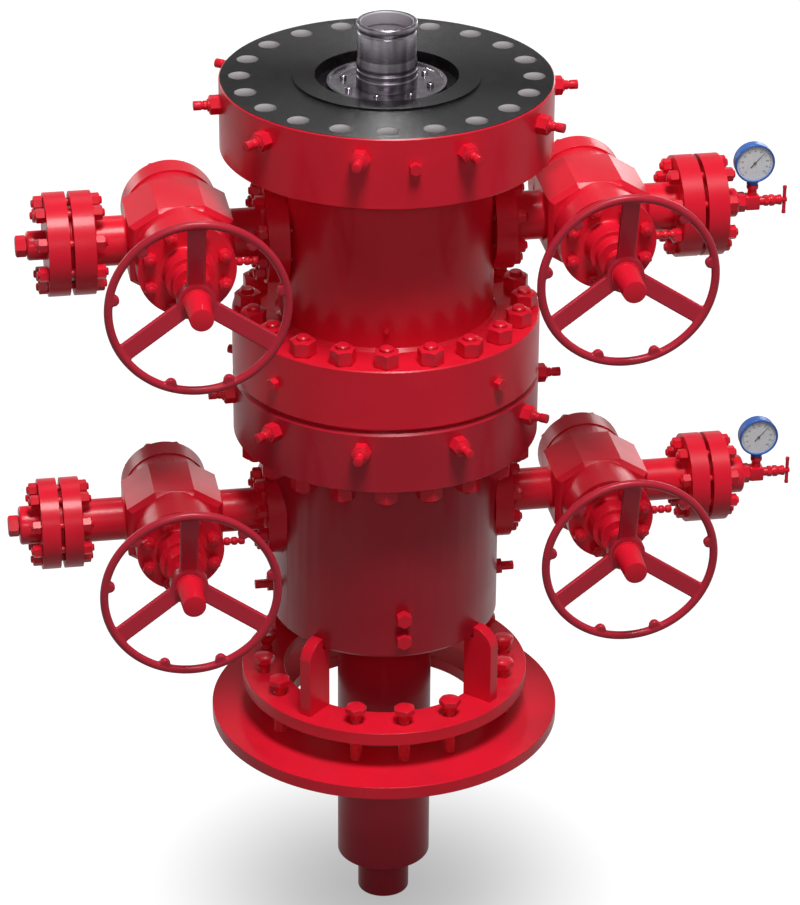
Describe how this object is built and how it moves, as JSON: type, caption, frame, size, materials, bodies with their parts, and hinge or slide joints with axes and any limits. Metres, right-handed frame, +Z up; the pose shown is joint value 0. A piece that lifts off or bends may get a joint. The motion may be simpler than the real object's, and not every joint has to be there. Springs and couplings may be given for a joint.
{
  "type": "gas wellhead valve stack",
  "caption": "Two-stage gas wellhead: flanged casing head and spool on a landing base, with side gate valves, handwheels and pressure gauges.",
  "frame": {"origin": "on the well axis, at the underside of the base plate", "axes": "+Z up along the well, +X along the side outlets to the gauge side, -Y towards the handwheels"},
  "size_m": [1.9093, 0.8927, 2.32],
  "materials": {
    "red_paint": "gloss",
    "wheel_paint": "gloss",
    "blue_paint": "gloss",
    "machined_steel": "machined"
  },
  "bodies": {
    "stack": {"outer_casing": "red_paint", "inner_casing": "red_paint", "base_plate": "red_paint", "landing_ring": "red_paint", "landing_gussets": "red_paint", "landing_bolts": "red_paint", "casing_head": "red_paint", "casing_spool": "red_paint", "middle_studs": "red_paint", "casing_hanger": "machined_steel", "hanger_neck": "machined_steel", "lock_screws": "red_paint", "body_plugs": "red_paint", "grease_fittings": "red_paint", "hanger_screws": "machined_steel", "test_ports": "red_paint", "upper_left_valve_body": "red_paint", "upper_left_bonnets": "red_paint", "upper_left_studs": "red_paint", "upper_left_blind_flange": "red_paint", "upper_right_valve_body": "red_paint", "upper_right_bonnets": "red_paint", "upper_right_studs": "red_paint", "upper_right_blind_flange": "red_paint", "upper_end_plug": "red_paint", "upper_needle_valve": "machined_steel", "upper_pressure_gauge": "blue_paint", "lower_left_valve_body": "red_paint", "lower_left_bonnets": "red_paint", "lower_left_studs": "red_paint", "lower_left_blind_flange": "red_paint", "lower_right_valve_body": "red_paint", "lower_right_bonnets": "red_paint", "lower_right_studs": "red_paint", "lower_right_blind_flange": "red_paint", "lower_end_plug": "red_paint", "lower_needle_valve": "machined_steel", "lower_pressure_gauge": "blue_paint"},
    "upper_left_wheel": {"upper_left_handwheel": "wheel_paint", "upper_left_stem_protector": "red_paint"},
    "upper_right_wheel": {"upper_right_handwheel": "wheel_paint", "upper_right_stem_protector": "red_paint"},
    "upper_handle": {"upper_needle_handle": "machined_steel"},
    "lower_left_wheel": {"lower_left_handwheel": "wheel_paint", "lower_left_stem_protector": "red_paint"},
    "lower_right_wheel": {"lower_right_handwheel": "wheel_paint", "lower_right_stem_protector": "red_paint"},
    "lower_handle": {"lower_needle_handle": "machined_steel"}
  },
  "joints": [
    {"name": "upper_left_wheel_turn", "type": "hinge", "parent": "stack", "child": "upper_left_wheel", "pos_m": [-0.4865, -0.402, 1.306], "axis": [0, -1, 0], "continuous": true},
    {"name": "upper_right_wheel_turn", "type": "hinge", "parent": "stack", "child": "upper_right_wheel", "pos_m": [0.4865, -0.402, 1.306], "axis": [0, -1, 0], "continuous": true},
    {"name": "upper_handle_turn", "type": "hinge", "parent": "stack", "child": "upper_handle", "pos_m": [0.92, 0, 1.306], "axis": [1, 0, 0], "continuous": true},
    {"name": "lower_left_wheel_turn", "type": "hinge", "parent": "stack", "child": "lower_left_wheel", "pos_m": [-0.5155, -0.394, 0.585], "axis": [0, -1, 0], "continuous": true},
    {"name": "lower_right_wheel_turn", "type": "hinge", "parent": "stack", "child": "lower_right_wheel", "pos_m": [0.5155, -0.394, 0.585], "axis": [0, -1, 0], "continuous": true},
    {"name": "lower_handle_turn", "type": "hinge", "parent": "stack", "child": "lower_handle", "pos_m": [0.99, 0, 0.585], "axis": [1, 0, 0], "continuous": true}
  ]
}
